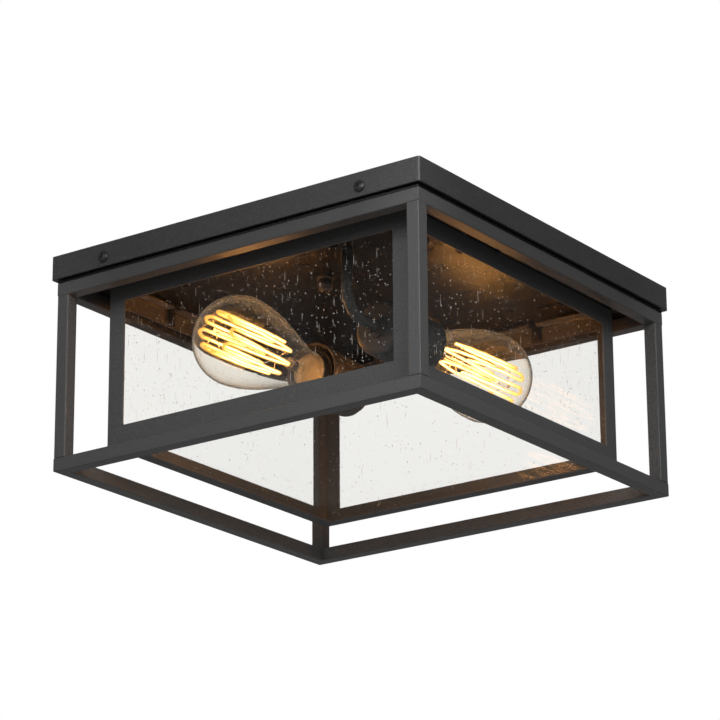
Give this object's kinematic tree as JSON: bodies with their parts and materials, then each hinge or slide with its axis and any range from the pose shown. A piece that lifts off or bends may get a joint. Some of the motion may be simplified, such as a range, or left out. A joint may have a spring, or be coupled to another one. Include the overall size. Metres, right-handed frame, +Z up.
{
  "type": "flush mount ceiling light",
  "caption": "Square black flush mount ceiling light: a shallow canopy, an open tube cage and an inner box of seeded glass around filament bulbs on bent arms.",
  "frame": {"origin": "middle of the canopy's top rim, on the ceiling, half way between the stud holes", "axes": "+Z up into the ceiling, -Y to the front wall with the side screws in view, +X to the right"},
  "size_m": [0.3048, 0.3096, 0.1524],
  "materials": {
    "black_coat": "satin black powder coat on steel",
    "black_screw": "black coated steel screw",
    "zinc_steel": "zinc plated steel",
    "spring_steel": "blackened spring steel",
    "seeded_glass": "clear glass with drawn seeds and slight waves",
    "bulb_glass": "clear smooth glass",
    "brass": "plain brass",
    "black_insulator": "black moulded insulator",
    "filament": "glowing wire"
  },
  "bodies": {
    "canopy": {"canopy_top": "black_coat", "canopy_skirt": "black_coat", "clamp_spacers": "zinc_steel", "clamp_nut_plates": "zinc_steel", "ball_nuts": "black_coat", "arm_left": "black_coat", "arm_right": "black_coat", "arm_collars": "black_coat", "cup_nuts": "black_coat", "socket_cup_left": "black_coat", "socket_cup_right": "black_coat", "holder_body_left": "black_insulator", "holder_body_right": "black_insulator", "screw_shells": "brass", "centre_contacts": "brass"},
    "frame": {"frame_plate": "black_coat", "cage_top_rail_front": "black_coat", "cage_top_rail_rear": "black_coat", "cage_top_rail_left": "black_coat", "cage_top_rail_right": "black_coat", "cage_bottom_rail_front": "black_coat", "cage_bottom_rail_rear": "black_coat", "cage_bottom_rail_left": "black_coat", "cage_bottom_rail_right": "black_coat", "cage_post_front_left": "black_coat", "cage_post_front_right": "black_coat", "cage_post_rear_left": "black_coat", "cage_post_rear_right": "black_coat", "glass_frame_top_front": "black_coat", "glass_frame_top_rear": "black_coat", "glass_frame_top_left": "black_coat", "glass_frame_top_right": "black_coat", "glass_frame_bottom_front": "black_coat", "glass_frame_bottom_rear": "black_coat", "glass_frame_bottom_left": "black_coat", "glass_frame_bottom_right": "black_coat", "glass_stile_front_left": "black_coat", "glass_stile_front_right": "black_coat", "glass_stile_rear_left": "black_coat", "glass_stile_rear_right": "black_coat", "glass_pane_front": "seeded_glass", "glass_pane_rear": "seeded_glass", "glass_pane_left": "seeded_glass", "glass_pane_right": "seeded_glass", "glass_pane_floor": "seeded_glass", "glass_clips": "spring_steel"},
    "side_screw_front_left": {"side_screw_front_left": "black_screw"},
    "side_screw_front_right": {"side_screw_front_right": "black_screw"},
    "side_screw_rear_left": {"side_screw_rear_left": "black_screw"},
    "side_screw_rear_right": {"side_screw_rear_right": "black_screw"},
    "bulb_left": {"bulb_glass_left": "bulb_glass", "bulb_base_left": "brass", "bulb_end_left": "black_insulator", "bulb_stem_left": "bulb_glass", "bulb_filament_left": "filament"},
    "bulb_right": {"bulb_glass_right": "bulb_glass", "bulb_base_right": "brass", "bulb_end_right": "black_insulator", "bulb_stem_right": "bulb_glass", "bulb_filament_right": "filament"}
  },
  "joints": [
    {"name": "frame_drop", "type": "slide", "parent": "canopy", "child": "frame", "axis": [0, 0, -1], "range_m": [0, 0.125]},
    {"name": "bulb_left_turn", "type": "hinge", "parent": "canopy", "child": "bulb_left", "pos_m": [-0.0458, 0, -0.063], "axis": [0, -1, 0], "range_deg": [0, 720]},
    {"name": "bulb_right_turn", "type": "hinge", "parent": "canopy", "child": "bulb_right", "pos_m": [0.0458, 0, -0.063], "axis": [0, 1, 0], "range_deg": [0, 720]},
    {"name": "side_screw_front_left_turn", "type": "hinge", "parent": "canopy", "child": "side_screw_front_left", "pos_m": [-0.106, -0.1524, -0.01], "axis": [0, -1, 0], "range_deg": [0, 720]},
    {"name": "side_screw_front_right_turn", "type": "hinge", "parent": "canopy", "child": "side_screw_front_right", "pos_m": [0.106, -0.1524, -0.01], "axis": [0, -1, 0], "range_deg": [0, 720]},
    {"name": "side_screw_rear_left_turn", "type": "hinge", "parent": "canopy", "child": "side_screw_rear_left", "pos_m": [-0.106, 0.1524, -0.01], "axis": [0, 1, 0], "range_deg": [0, 720]},
    {"name": "side_screw_rear_right_turn", "type": "hinge", "parent": "canopy", "child": "side_screw_rear_right", "pos_m": [0.106, 0.1524, -0.01], "axis": [0, 1, 0], "range_deg": [0, 720]}
  ]
}
